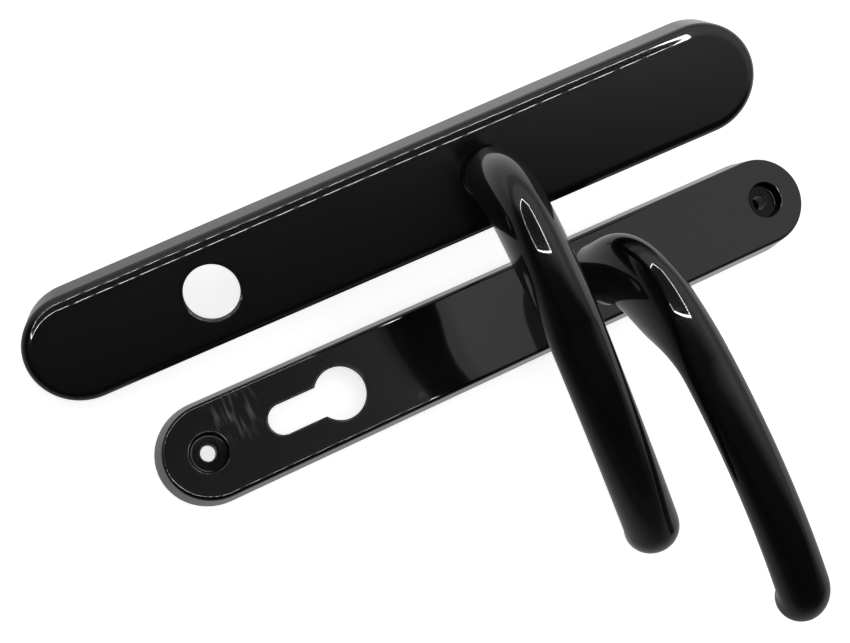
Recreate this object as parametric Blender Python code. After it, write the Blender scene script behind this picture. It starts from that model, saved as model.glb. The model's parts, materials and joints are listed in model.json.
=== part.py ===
"""A pair of sprung lever handles on long backplates, made for a door lock with a euro cylinder.

Both handles lie face up, side by side. Each is modelled in its own frame: the origin is on the
spindle's axis at the back of the plate, +Z points out of the front, +X runs up the plate and away
from the cylinder, and the lever points towards -Y. The inside handle lies flat, with its frame
square to the world's. The outside handle leans on the end of its spindle.
"""

import math

import bmesh
import bpy
from mathutils import Euler, Matrix, Vector

MM = 0.001
GAP = 0.3 * MM
OVERSHOOT = 1.0 * MM
MERGE_DISTANCE = 0.001 * MM
SHARP_ANGLE = math.radians(35)

# Distances along both plates, from the spindle's axis.
CYLINDER_X = -92 * MM
LOWER_SCREW_X = -138 * MM
UPPER_SCREW_X = 77 * MM

# The hollow shells: wall and skin thickness, and the ribs and pillars inside.
WALL = 2.4 * MM
SKIN = 2.0 * MM
RIB_X = (-64 * MM, -40 * MM, 34 * MM, 58 * MM)
RIB_HALF = 0.8 * MM
RIB_BOTTOM = 4.6 * MM
PILLAR_R = 2.6 * MM
PILOT_R = 1.25 * MM

PLATES = {
    "outside": {
        "low_x": -135.8 * MM,
        "high_x": 72.1 * MM,
        "width": 35.4 * MM,
        "height": 15.6 * MM,
        "draft": 0.5 * MM,
        "edge": 3.8 * MM,
        "cap": 18.2 * MM,
        "rest_turn": math.radians(0.8),
    },
    "inside": {
        "low_x": -136.6 * MM,
        "high_x": 75.5 * MM,
        "width": 34.2 * MM,
        "height": 13.4 * MM,
        "draft": 1.6 * MM,
        "edge": 1.4 * MM,
        "cap": 17.9 * MM,
        "rest_turn": math.radians(6.1),
    },
}

# Where the two handles lie. The world's origin is on the middle of the inside plate's back rim,
# level with its spindle.
INSIDE_PLACE = Vector((0, (WALL - PLATES["inside"]["width"]) / 2, 0))
OUTSIDE_PLACE = INSIDE_PLACE + Vector((-26.5, 47.4, 40.6)) * MM
OUTSIDE_TILT = Euler((math.radians(18.84), math.radians(-14.25), math.radians(-1.05)))

# Openings for the lock cylinder.
ROUND_OPENING_R = 8.7 * MM
EURO_CIRCLE_R = 8.7 * MM
EURO_SLOT_HALF = 5.0 * MM
EURO_LENGTH = 34.0 * MM

# Screw recesses in the inside plate.
RECESS_R = 6.2 * MM
RECESS_DEPTH = 4.0 * MM
RECESS_CUP_R = 8.2 * MM
RECESS_CUP_BOTTOM = 3.4 * MM
RECESS_ROUNDING = 0.6 * MM
SCREW_HOLE_R = 2.6 * MM
SCREW_HOLE_LIP = 0.5 * MM

# Lever: a turned neck, a deep bend and a slightly arched bar. The bar ends in a thick return towards
# the door. A section is half_width across and half_depth in the plane of the bend.
NECK_R = 8.0 * MM
NECK_HOLE_R = 8.4 * MM
NECK_BOTTOM = 5.4 * MM
NECK_ROUND_TOP = 22.0 * MM
NECK_TOP_HALF_WIDTH = 8.5 * MM
NECK_TOP_HALF_DEPTH = 10.8 * MM
BEND_R = 33.5 * MM
BEND_SWELL = 7.9 * MM
BEND_SWELL_LENGTH = 61.5 * MM
BEND_SHIFT = 1.6 * MM
BAR_HEIGHT = 65.2 * MM
BAR_HALF_WIDTH = 8.45 * MM
BAR_START_HALF_DEPTH = 7.0 * MM
BAR_HALF_DEPTH = 8.2 * MM
TIP_HALF_WIDTH = 8.9 * MM
BAR_REACH = 119.3 * MM
BAR_START_SLOPE = -0.128
BAR_ARCH = 2.51
SIDE_SWEEP = 0.21
RETURN_R = 11.5 * MM
RETURN_ANGLE = 0.71
TIP_FLAT = 0.06
SECTION_POINTS = 20
NECK_STEPS = 3
BEND_STEPS = 14
BAR_STEPS = 12
RETURN_STEPS = 5
TIP_STEPS = 6

# Spindle and what holds it.
SPINDLE_HALF = 4.0 * MM
SPINDLE_TOP = 38.0 * MM
SPINDLE_BOTTOM = -41.5 * MM
POCKET_HALF = SPINDLE_HALF + GAP
SPINDLE_CHAMFER = 0.6 * MM
PIN_Z = 7.6 * MM
PIN_R = 1.0 * MM
PIN_HALF_LENGTH = 7.4 * MM
PIN_CHAMFER = 0.4 * MM
PIN_HOLE_HALF_LENGTH = 12.0 * MM
GRUB_Z = 24.0 * MM
GRUB_R = 2.2 * MM
GRUB_SPAN = (4.6 * MM, 7.5 * MM)
GRUB_HOLE_SPAN = (2.0 * MM, 14.0 * MM)
HEX_SOCKET_R = 1.2 * MM
HEX_SOCKET_BOTTOM = 6.0 * MM

# Stack in the hollow of each plate, counted up from the back: circlip, cover, cam, spring, bush.
SPIGOT_HALF = 5.5 * MM
SPIGOT_END = (0.4 * MM, 1.0 * MM)
SPIGOT_END_R = 7.3 * MM
GROOVE_R = 5.6 * MM
CIRCLIP = (1.3 * MM, 2.1 * MM)
CIRCLIP_R = 8.6 * MM
CIRCLIP_HALF_OPENING = math.radians(35)
COVER = (2.4 * MM, 3.2 * MM)
COVER_HALF = 12.6 * MM
COVER_HALF_STRAIGHT = 12.0 * MM
COVER_SCREW_X = 19.0 * MM
COVER_SCREW_R = 0.95 * MM
COVER_SCREW_HEAD_R = 2.3 * MM
COVER_SCREW_HEAD = 1.3 * MM
COVER_SCREW_LENGTH = 4.2 * MM
COVER_SCREW_POINT = 0.8 * MM
COVER_HOLE_R = 1.5 * MM
DRIVER_SLOT_HALF = 0.3 * MM
DRIVER_SLOT_DEPTH = 0.6 * MM
CAM = (3.5 * MM, 5.1 * MM)
CAM_R = 10.8 * MM
CAM_EAR_R = 13.2 * MM
CAM_EAR_HALF_ANGLE = math.radians(20)
SPRING_START = 5.5 * MM
SPRING_WIRE_R = 0.55 * MM
SPRING_R = 10.2 * MM
SPRING_PITCH = 1.45 * MM
SPRING_LEG_R = 12.6 * MM
SPRING_STEPS_PER_TURN = 18
BUSH_THICK = 1.0 * MM
BUSH_R = 11.8 * MM

# Steel strips right under the skin: (low x, high x, half width, reach of the round ends).
STEEL_THICK = 1.8 * MM
LOWER_STRIP = (-121 * MM, -32 * MM, 12 * MM, 4 * MM)
UPPER_STRIP = (26 * MM, 64 * MM, 11 * MM, 3 * MM)

# Threaded posts of the outside plate, and the bosses that hold them.
POST_R = 4.2 * MM
POST_BOTTOM = -5.2 * MM
POST_CHAMFER = 0.6 * MM
POST_THREAD_R = 2.5 * MM
BOSS_R = 7.0 * MM

# Finishes: colour, roughness and metallic value.
GLOSS_BLACK = ((0.012, 0.012, 0.013), 0.12, 0.0)
ZINC = ((0.62, 0.63, 0.64), 0.35, 1.0)
HARD_STEEL = ((0.30, 0.30, 0.31), 0.40, 1.0)
SPRING_STEEL = ((0.42, 0.41, 0.40), 0.30, 1.0)
NYLON = ((0.75, 0.75, 0.72), 0.50, 0.0)


def clear_scene():
    for obj in list(bpy.data.objects):
        bpy.data.objects.remove(obj)


def new_collection(name):
    made = bpy.data.collections.new(name)
    bpy.context.scene.collection.children.link(made)
    return made


def paint(obj, finish):
    colour, roughness, metallic = finish
    material = bpy.data.materials.new(obj.name + "_finish")
    material.use_nodes = True
    shader = material.node_tree.nodes["Principled BSDF"]
    shader.inputs["Base Color"].default_value = (*colour, 1)
    shader.inputs["Roughness"].default_value = roughness
    shader.inputs["Metallic"].default_value = metallic
    obj.data.materials.append(material)


def add_object(name, bm, collection, finish=None):
    bmesh.ops.recalc_face_normals(bm, faces=bm.faces)
    mesh = bpy.data.meshes.new(name)
    bm.to_mesh(mesh)
    bm.free()
    obj = bpy.data.objects.new(name, mesh)
    collection.objects.link(obj)
    if finish:
        mesh.shade_smooth()
        mesh.set_sharp_from_angle(angle=SHARP_ANGLE)
        paint(obj, finish)
    return obj


def loft(rings):
    """A closed body through rings of equally many points, with a flat cap at each end."""
    bm = bmesh.new()
    rows = [[bm.verts.new(point) for point in ring] for ring in rings]
    for lower, upper in zip(rows, rows[1:]):
        for i in range(len(lower)):
            j = (i + 1) % len(lower)
            bm.faces.new((lower[i], lower[j], upper[j], upper[i]))
    bm.faces.new(rows[0])
    bm.faces.new(rows[-1])
    return bm


def prism(outline, low, high):
    """Raises a flat outline into a body between two heights."""
    bm = bmesh.new()
    base = bm.faces.new([bm.verts.new((x, y, low)) for x, y in outline])
    raised = bmesh.ops.extrude_face_region(bm, geom=[base])["geom"]
    top = [item for item in raised if isinstance(item, bmesh.types.BMVert)]
    bmesh.ops.translate(bm, verts=top, vec=(0, 0, high - low))
    return bm


def cylinder(radius, low, high, steps, axis_x=0.0):
    bm = bmesh.new()
    bmesh.ops.create_cone(
        bm,
        cap_ends=True,
        segments=steps,
        radius1=radius,
        radius2=radius,
        depth=high - low,
        matrix=Matrix.Translation((axis_x, 0, (low + high) / 2)),
    )
    return bm


def turned(profile, steps, axis_x=0.0, closed=False):
    """Spins a profile of (radius, height) points round an upright axis.

    A closed profile makes a ring. An open one is closed by flat ends that reach the axis.
    """
    bm = bmesh.new()
    if closed:
        points = profile + profile[:1]
    else:
        points = [(0, profile[0][1])] + profile + [(0, profile[-1][1])]
    verts = [bm.verts.new((radius, 0, z)) for radius, z in points]
    edges = [bm.edges.new(pair) for pair in zip(verts, verts[1:])]
    bmesh.ops.spin(bm, geom=verts + edges, axis=(0, 0, 1), angle=2 * math.pi, steps=steps)
    bmesh.ops.remove_doubles(bm, verts=bm.verts, dist=MERGE_DISTANCE)
    bmesh.ops.translate(bm, verts=bm.verts, vec=(axis_x, 0, 0))
    return bm


def circle(radius, steps):
    turns = [2 * math.pi * i / steps for i in range(steps)]
    return [(radius * math.cos(t), radius * math.sin(t)) for t in turns]


def rectangle(x_low, x_high, y_half):
    return [(x_low, -y_half), (x_high, -y_half), (x_high, y_half), (x_low, y_half)]


def stadium(low_x, high_x, half, cap, steps=12):
    """An outline with oval ends that reach cap beyond low_x and high_x."""
    outline = []
    for centre, start in ((high_x, -math.pi / 2), (low_x, math.pi / 2)):
        for i in range(steps + 1):
            t = start + math.pi * i / steps
            outline.append((centre + cap * math.cos(t), half * math.sin(t)))
    return outline


def euro_outline(clearance=0.0, circle_steps=28, slot_steps=12):
    """A euro cylinder's keyhole: a circle on its axis, and a slot towards the plate's lower end."""
    radius = EURO_CIRCLE_R + clearance
    half = EURO_SLOT_HALF + clearance
    meet = math.asin(half / radius)
    slot_x = CYLINDER_X + EURO_CIRCLE_R - EURO_LENGTH + EURO_SLOT_HALF
    outline = []
    for i in range(circle_steps + 1):
        t = (math.pi - meet) * (2 * i / circle_steps - 1)
        outline.append((CYLINDER_X + radius * math.cos(t), radius * math.sin(t)))
    for i in range(slot_steps + 1):
        t = math.pi / 2 + math.pi * i / slot_steps
        outline.append((slot_x + half * math.cos(t), half * math.sin(t)))
    return outline


def combine(obj, name, bm, operation, helpers):
    """Joins a helper shape to the object, or cuts it away, with a Boolean modifier."""
    helper = add_object(f"{obj.name}_{name}", bm, helpers)
    helper.hide_render = True
    helper.display_type = "WIRE"
    helper.parent = obj.parent
    helper.matrix_parent_inverse = obj.matrix_parent_inverse
    modifier = obj.modifiers.new(name, "BOOLEAN")
    modifier.object = helper
    modifier.operation = operation
    modifier.solver = "EXACT"


def cut(obj, name, bm, helpers):
    combine(obj, name, bm, "DIFFERENCE", helpers)


def join(obj, name, bm, helpers):
    combine(obj, name, bm, "UNION", helpers)


def mix(first, last, part):
    return first + (last - first) * part


def plate_rings(plate, edge_steps=5):
    """The drafted wall, then the rounded edge, then the flat face."""
    half, edge = plate["width"] / 2, plate["edge"]
    wall_top = plate["height"] - edge
    levels = [(0.0, 0.0)]
    for i in range(edge_steps + 1):
        t = math.pi / 2 * i / edge_steps
        levels.append((plate["draft"] + edge * (1 - math.cos(t)), wall_top + edge * math.sin(t)))
    rings = []
    for inset, z in levels:
        outline = stadium(plate["low_x"], plate["high_x"], half - inset, plate["cap"] - inset)
        rings.append([(x, y, z) for x, y in outline])
    return rings


def backplate(side, plate, parts, helpers, frame):
    """The die-cast shell: hollow from behind, with its ribs, pillars, bosses and openings."""
    obj = add_object(f"{side}_backplate", loft(plate_rings(plate)), parts, GLOSS_BLACK)
    obj.parent = frame
    height = plate["height"]
    ceiling = height - SKIN
    in_skin = height - SKIN / 2
    half = plate["width"] / 2 - WALL
    cap = plate["cap"] - WALL
    wide = stadium(plate["low_x"], plate["high_x"], half, cap)
    narrow = stadium(plate["low_x"], plate["high_x"], half - plate["draft"], cap - plate["draft"])
    hollow = loft([[(x, y, -OVERSHOOT) for x, y in wide], [(x, y, ceiling) for x, y in narrow]])
    cut(obj, "hollow", hollow, helpers)

    rib_top = steel_levels(plate)[0] - GAP
    for x in RIB_X:
        rib = rectangle(x - RIB_HALF, x + RIB_HALF, half + WALL / 3)
        join(obj, f"rib_{round(x / MM)}", prism(rib, RIB_BOTTOM, rib_top), helpers)
    for x in (-COVER_SCREW_X, COVER_SCREW_X):
        pillar = cylinder(PILLAR_R, COVER[1] + GAP, in_skin, 20, x)
        join(obj, f"pillar_{round(x / MM)}", pillar, helpers)
        cut(obj, f"pilot_{round(x / MM)}", cylinder(PILOT_R, 0, ceiling, 12, x), helpers)
    neck_hole = cylinder(NECK_HOLE_R, -OVERSHOOT, height + OVERSHOOT, 36)
    cut(obj, "neck_hole", neck_hole, helpers)

    for name, x in (("lower", LOWER_SCREW_X), ("upper", UPPER_SCREW_X)):
        if side == "inside":
            cup = cylinder(RECESS_CUP_R, RECESS_CUP_BOTTOM, in_skin, 28, x)
            join(obj, f"{name}_cup", cup, helpers)
            cut(obj, f"{name}_recess", turned(recess_profile(height), 28, x), helpers)
        else:
            join(obj, f"{name}_boss", cylinder(BOSS_R, 1 * MM, in_skin, 24, x), helpers)
            socket = cylinder(POST_R + GAP, -OVERSHOOT, ceiling, 24, x)
            cut(obj, f"{name}_socket", socket, helpers)

    if side == "inside":
        opening = prism(euro_outline(), -OVERSHOOT, height + OVERSHOOT)
    else:
        opening = cylinder(ROUND_OPENING_R, -OVERSHOOT, height + OVERSHOOT, 36, CYLINDER_X)
    cut(obj, "cylinder_opening", opening, helpers)


def recess_profile(height):
    """Half section of a screw recess, from the screw hole's lower end up through the face."""
    floor = height - RECESS_DEPTH
    rounding = RECESS_ROUNDING
    return [
        (SCREW_HOLE_R, -OVERSHOOT),
        (SCREW_HOLE_R, floor - rounding),
        (SCREW_HOLE_R + SCREW_HOLE_LIP, floor),
        (RECESS_R - rounding / 2, floor),
        (RECESS_R, height - rounding),
        (RECESS_R + rounding, height),
        (RECESS_R + rounding, height + OVERSHOOT),
    ]


def bend_form(length):
    """How much the section is deeper, and its middle moved outwards, that far along from the neck."""
    part = min(length / BEND_SWELL_LENGTH, 1.0)
    swell = BEND_SWELL * math.sin(math.pi * part) ** 2
    return swell, BEND_SHIFT * math.sin(2 * math.pi * part) * math.sin(math.pi * part)


def lever_stations():
    """Places along the lever: (reach, height, slope, half_width, half_depth).

    The neck widens fore and aft as it rises. Round the bend the section swells, and its middle moves
    out of the bend first and then into it.
    """
    corner = BAR_HEIGHT - BEND_R
    stations = []
    for i in range(NECK_STEPS):
        part = (1 - math.cos(math.pi * i / NECK_STEPS)) / 2
        height = mix(NECK_ROUND_TOP, corner, i / NECK_STEPS)
        width = mix(NECK_R, NECK_TOP_HALF_WIDTH, part)
        stations.append((0.0, height, math.pi / 2, width, mix(NECK_R, NECK_TOP_HALF_DEPTH, part)))

    bend_angle = math.pi / 2 - BAR_START_SLOPE
    for i in range(BEND_STEPS + 1):
        part = i / BEND_STEPS
        turn = bend_angle * part
        slope = math.pi / 2 - turn
        swell, shift = bend_form(BEND_R * turn)
        width = mix(NECK_TOP_HALF_WIDTH, BAR_HALF_WIDTH, part)
        depth = mix(NECK_TOP_HALF_DEPTH, BAR_START_HALF_DEPTH, part) + swell
        reach = BEND_R * (1 - math.cos(turn)) - shift * math.sin(slope)
        height = corner + BEND_R * math.sin(turn) + shift * math.cos(slope)
        stations.append((reach, height, slope, width, depth))

    start = BEND_R * (1 - math.cos(bend_angle))
    height = corner + BEND_R * math.sin(bend_angle)
    for i in range(1, BAR_STEPS + 1):
        part = i / BAR_STEPS
        run = (BAR_REACH - start) * part
        rise = math.tan(BAR_START_SLOPE) * run - BAR_ARCH * run * run
        slope = math.atan(math.tan(BAR_START_SLOPE) - 2 * BAR_ARCH * run)
        width = mix(BAR_HALF_WIDTH, TIP_HALF_WIDTH, part**2)
        depth = mix(BAR_START_HALF_DEPTH, BAR_HALF_DEPTH, math.sin(math.pi / 2 * part))
        depth += bend_form(BEND_R * bend_angle + run)[0]
        stations.append((start + run, height + rise, slope, width, depth))

    start, height, slope, width, depth = stations[-1]
    pivot_reach = start + RETURN_R * math.sin(slope)
    pivot_height = height - RETURN_R * math.cos(slope)
    for i in range(1, RETURN_STEPS + 1):
        t = slope - RETURN_ANGLE * i / RETURN_STEPS
        reach = pivot_reach - RETURN_R * math.sin(t)
        stations.append((reach, pivot_height + RETURN_R * math.cos(t), t, width, depth))

    start, height, slope, width, depth = stations[-1]
    for i in range(1, TIP_STEPS + 1):
        t = math.pi / 2 * i / TIP_STEPS
        shrink = max(math.cos(t), TIP_FLAT)
        reach = start + depth * math.sin(t) * math.cos(slope)
        drop = height + depth * math.sin(t) * math.sin(slope)
        stations.append((reach, drop, slope, width * shrink, depth * shrink))
    return stations


def lever_rings():
    rings = []
    for reach, height, slope, half_width, half_depth in lever_stations():
        sweep = SIDE_SWEEP * reach * reach
        ring = []
        for i in range(SECTION_POINTS):
            t = 2 * math.pi * i / SECTION_POINTS
            across = half_width * math.cos(t) + sweep
            up = half_depth * math.sin(t)
            ring.append((across, up * math.sin(slope) - reach, height + up * math.cos(slope)))
        rings.append(ring)
    neck_end = [(x, y, NECK_BOTTOM) for x, y in circle(NECK_R, SECTION_POINTS)]
    return [neck_end] + rings


def lever(side, parts, helpers, pivot):
    """The cast lever, with its spindle pocket and, under the neck, the keyed and grooved spigot."""
    obj = add_object(f"{side}_lever", loft(lever_rings()), parts, GLOSS_BLACK)
    obj.parent = pivot
    spigot = rectangle(-SPIGOT_HALF, SPIGOT_HALF, SPIGOT_HALF)
    join(obj, "spigot", prism(spigot, CIRCLIP[1] + GAP, NECK_BOTTOM + OVERSHOOT), helpers)
    end = [
        (SPIGOT_END_R, SPIGOT_END[0]),
        (SPIGOT_END_R, SPIGOT_END[1]),
        (GROOVE_R, SPIGOT_END[1]),
        (GROOVE_R, CIRCLIP[1] + 2 * GAP),
    ]
    join(obj, "spigot_end", turned(end, 32), helpers)
    pocket = rectangle(-POCKET_HALF, POCKET_HALF, POCKET_HALF)
    cut(obj, "pocket", prism(pocket, -OVERSHOOT, SPINDLE_TOP + OVERSHOOT), helpers)
    if side == "outside":
        cut(obj, "pin_hole", pin_hole(), helpers)
    else:
        hole = cylinder(GRUB_R + GAP, *GRUB_HOLE_SPAN, 20)
        turn_to_bar(hole, GRUB_Z)
        cut(obj, "grub_hole", hole, helpers)


def pin_hole():
    hole = cylinder(PIN_R + GAP, -PIN_HOLE_HALF_LENGTH, PIN_HOLE_HALF_LENGTH, 16)
    turn_to_x(hole, PIN_Z)
    return hole


def turn_to_x(bm, height):
    """Lays a body along X at the given height."""
    matrix = Matrix.Translation((0, 0, height)) @ Matrix.Rotation(math.pi / 2, 4, "Y")
    bmesh.ops.transform(bm, matrix=matrix, verts=bm.verts)


def turn_to_bar(bm, height):
    """Lays a body along -Y, the way the bar points, at the given height."""
    matrix = Matrix.Translation((0, 0, height)) @ Matrix.Rotation(math.pi / 2, 4, "X")
    bmesh.ops.transform(bm, matrix=matrix, verts=bm.verts)


def spindle(parts, helpers, pivot):
    """The square bar, and the pin that holds it in the outside lever."""
    full = rectangle(-SPINDLE_HALF, SPINDLE_HALF, SPINDLE_HALF)
    end_half = SPINDLE_HALF - SPINDLE_CHAMFER
    small = rectangle(-end_half, end_half, end_half)
    levels = (
        (small, SPINDLE_BOTTOM),
        (full, SPINDLE_BOTTOM + SPINDLE_CHAMFER),
        (full, SPINDLE_TOP - SPINDLE_CHAMFER),
        (small, SPINDLE_TOP),
    )
    bar = loft([[(x, y, z) for x, y in ring] for ring, z in levels])
    obj = add_object("spindle", bar, parts, ZINC)
    obj.parent = pivot
    cut(obj, "pin_hole", pin_hole(), helpers)

    pin = turned(
        [
            (PIN_R - PIN_CHAMFER, -PIN_HALF_LENGTH),
            (PIN_R, -PIN_HALF_LENGTH + PIN_CHAMFER),
            (PIN_R, PIN_HALF_LENGTH - PIN_CHAMFER),
            (PIN_R - PIN_CHAMFER, PIN_HALF_LENGTH),
        ],
        16,
    )
    turn_to_x(pin, PIN_Z)
    add_object("spindle_pin", pin, parts, HARD_STEEL).parent = pivot


def grub_screw(parts, helpers, pivot):
    """A hexagon-socket grub screw under the bar. It clamps the spindle in the inside lever."""
    tip, head = GRUB_SPAN
    profile = [(GRUB_R / 2, tip), (GRUB_R, tip + GRUB_R / 4), (GRUB_R, head)]
    body = turned(profile, 24)
    turn_to_bar(body, GRUB_Z)
    obj = add_object("inside_grub_screw", body, parts, HARD_STEEL)
    obj.parent = pivot
    socket = cylinder(HEX_SOCKET_R, HEX_SOCKET_BOTTOM, head + OVERSHOOT, 6)
    turn_to_bar(socket, GRUB_Z)
    cut(obj, "socket", socket, helpers)


def cam_outline(steps=48):
    """A disc with one ear that the spring's leg pushes back."""
    outline = []
    for i in range(steps):
        t = 2 * math.pi * i / steps
        off_ear = abs(t - math.pi / 2) > CAM_EAR_HALF_ANGLE
        radius = CAM_R if off_ear else CAM_EAR_R
        outline.append((radius * math.cos(t), radius * math.sin(t)))
    return outline


def cam(side, parts, helpers, pivot):
    obj = add_object(f"{side}_cam", prism(cam_outline(), *CAM), parts, ZINC)
    obj.parent = pivot
    half = SPIGOT_HALF + GAP
    square = prism(rectangle(-half, half, half), CAM[0] - OVERSHOOT, CAM[1] + OVERSHOOT)
    cut(obj, "square_hole", square, helpers)


def circlip(side, parts, pivot, steps=26):
    inner = GROOVE_R + GAP
    sweep = 2 * (math.pi - CIRCLIP_HALF_OPENING)
    turns = [CIRCLIP_HALF_OPENING + sweep * i / steps for i in range(steps + 1)]
    outline = [(CIRCLIP_R * math.cos(t), CIRCLIP_R * math.sin(t)) for t in turns]
    outline += [(inner * math.cos(t), inner * math.sin(t)) for t in reversed(turns)]
    add_object(f"{side}_circlip", prism(outline, *CIRCLIP), parts, SPRING_STEEL).parent = pivot


def spring_cover(side, parts, helpers, frame):
    """The steel plate that closes the spring's space from behind."""
    outline = stadium(-COVER_HALF_STRAIGHT, COVER_HALF_STRAIGHT, COVER_HALF, COVER_HALF)
    obj = add_object(f"{side}_spring_cover", prism(outline, *COVER), parts, ZINC)
    obj.parent = frame
    low, high = COVER[0] - OVERSHOOT, COVER[1] + OVERSHOOT
    clear_r = SPIGOT_HALF * math.sqrt(2) + GAP
    cut(obj, "spigot_hole", cylinder(clear_r, low, high, 32), helpers)
    for x in (-COVER_SCREW_X, COVER_SCREW_X):
        cut(obj, f"screw_hole_{round(x / MM)}", cylinder(COVER_HOLE_R, low, high, 16, x), helpers)


def cover_screws(side, parts, helpers, frame):
    """Slotted screws from behind into the pillars."""
    head_top = COVER[0] - GAP
    head_bottom = head_top - COVER_SCREW_HEAD
    end = head_top + COVER_SCREW_LENGTH
    profile = [
        (COVER_SCREW_HEAD_R - GAP, head_bottom),
        (COVER_SCREW_HEAD_R, head_bottom + GAP),
        (COVER_SCREW_HEAD_R, head_top),
        (COVER_SCREW_R, head_top),
        (COVER_SCREW_R, end - COVER_SCREW_POINT),
        (COVER_SCREW_R / 2, end),
    ]
    for name, x in (("lower", -COVER_SCREW_X), ("upper", COVER_SCREW_X)):
        obj = add_object(f"{side}_{name}_cover_screw", turned(profile, 20, x), parts, HARD_STEEL)
        obj.parent = frame
        slot = rectangle(x - 2 * COVER_SCREW_HEAD_R, x + 2 * COVER_SCREW_HEAD_R, DRIVER_SLOT_HALF)
        slot_top = head_bottom + DRIVER_SLOT_DEPTH
        cut(obj, "slot", prism(slot, head_bottom - OVERSHOOT, slot_top), helpers)


def bush(side, plate, parts, frame):
    """The nylon ring that the neck turns in, right under the skin."""
    top = plate["height"] - SKIN - GAP
    low = top - BUSH_THICK
    inner = NECK_R + GAP
    section = [(BUSH_R, top), (BUSH_R, low), (inner, low), (inner, top)]
    ring = turned(section, 40, closed=True)
    add_object(f"{side}_bush", ring, parts, NYLON).parent = frame


def return_spring(side, plate, parts, frame):
    """A coil round the neck between cam and bush, with a short leg at each end."""
    low = SPRING_START + SPRING_WIRE_R
    bush_low = plate["height"] - SKIN - GAP - BUSH_THICK
    high = bush_low - GAP - SPRING_WIRE_R
    turns = (high - low) / SPRING_PITCH
    steps = round(SPRING_STEPS_PER_TURN * turns)
    points = []
    for i in range(steps + 1):
        t = 2 * math.pi * turns * i / steps - math.pi / 2
        z = mix(low, high, i / steps)
        points.append(Vector((SPRING_R * math.cos(t), SPRING_R * math.sin(t), z)))
    for place, end in ((0, points[0]), (steps + 2, points[-1])):
        outwards = end.to_2d() * (SPRING_LEG_R / SPRING_R)
        points.insert(place, Vector((*outwards, end.z)))

    curve = bpy.data.curves.new(f"{side}_return_spring", "CURVE")
    curve.dimensions = "3D"
    curve.bevel_depth = SPRING_WIRE_R
    curve.bevel_resolution = 1
    curve.use_fill_caps = True
    spline = curve.splines.new("POLY")
    spline.points.add(len(points) - 1)
    for spot, point in zip(spline.points, points):
        spot.co = (*point, 1)
    obj = bpy.data.objects.new(f"{side}_return_spring", curve)
    parts.objects.link(obj)
    obj.parent = frame
    paint(obj, SPRING_STEEL)


def steel_levels(plate):
    """Bottom and top of the steel strips: they lie right under the skin."""
    top = plate["height"] - SKIN - GAP
    return top - STEEL_THICK, top


def steel_strips(side, plate, parts, helpers, frame):
    """Hardened steel behind the cylinder opening, and a plain strip above the lever."""
    low, high = steel_levels(plate)
    if side == "outside":
        name = "outside_guard_plate"
        opening = circle_at_cylinder(ROUND_OPENING_R + OVERSHOOT)
    else:
        name = "inside_lower_stiffener"
        opening = euro_outline(OVERSHOOT)
    lower = add_object(name, prism(stadium(*LOWER_STRIP), low, high), parts, HARD_STEEL)
    lower.parent = frame
    cut(lower, "opening", prism(opening, low - OVERSHOOT, high + OVERSHOOT), helpers)
    upper = prism(stadium(*UPPER_STRIP), low, high)
    add_object(f"{side}_upper_stiffener", upper, parts, HARD_STEEL).parent = frame


def circle_at_cylinder(radius, steps=32):
    return [(CYLINDER_X + x, y) for x, y in circle(radius, steps)]


def bolt_posts(plate, parts, helpers, frame):
    """Threaded posts that reach into the door, for the inside plate's fixing screws."""
    top = plate["height"] - SKIN - GAP
    profile = [(POST_R - POST_CHAMFER, POST_BOTTOM), (POST_R, POST_BOTTOM + POST_CHAMFER), (POST_R, top)]
    for name, x in (("lower", LOWER_SCREW_X), ("upper", UPPER_SCREW_X)):
        obj = add_object(f"outside_{name}_bolt_post", turned(profile, 32, x), parts, ZINC)
        obj.parent = frame
        thread = cylinder(POST_THREAD_R, POST_BOTTOM - OVERSHOOT, top - 2 * OVERSHOOT, 20, x)
        cut(obj, "thread", thread, helpers)


def empty(name, collection, parent=None):
    made = bpy.data.objects.new(name, None)
    collection.objects.link(made)
    made.parent = parent
    return made


def main():
    clear_scene()
    parts = new_collection("lever_handle_pair")
    helpers = new_collection("cutters")
    frames = {"outside": empty("outside_frame", parts), "inside": empty("inside_frame", parts)}
    frames["inside"].location = INSIDE_PLACE
    frames["outside"].location = OUTSIDE_PLACE
    frames["outside"].rotation_euler = OUTSIDE_TILT
    for side, plate in PLATES.items():
        frame = frames[side]
        pivot = empty(f"{side}_pivot", parts, frame)
        pivot.rotation_euler = (0, 0, plate["rest_turn"])
        backplate(side, plate, parts, helpers, frame)
        lever(side, parts, helpers, pivot)
        cam(side, parts, helpers, pivot)
        circlip(side, parts, pivot)
        spring_cover(side, parts, helpers, frame)
        cover_screws(side, parts, helpers, frame)
        bush(side, plate, parts, frame)
        return_spring(side, plate, parts, frame)
        steel_strips(side, plate, parts, helpers, frame)
        if side == "outside":
            spindle(parts, helpers, pivot)
            bolt_posts(plate, parts, helpers, frame)
        else:
            grub_screw(parts, helpers, pivot)


main()
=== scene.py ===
"""Looks of a pair of gloss black lever handles on long backplates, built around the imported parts.

The two castings of each handle are replaced by smooth meshes with the same driving dimensions as the
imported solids, and its spring by a smooth coil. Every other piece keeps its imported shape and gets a
procedural metal or nylon finish. Lengths are in metres.
"""

import json
import math

import bmesh
import bpy
from mathutils import Matrix, Vector

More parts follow.
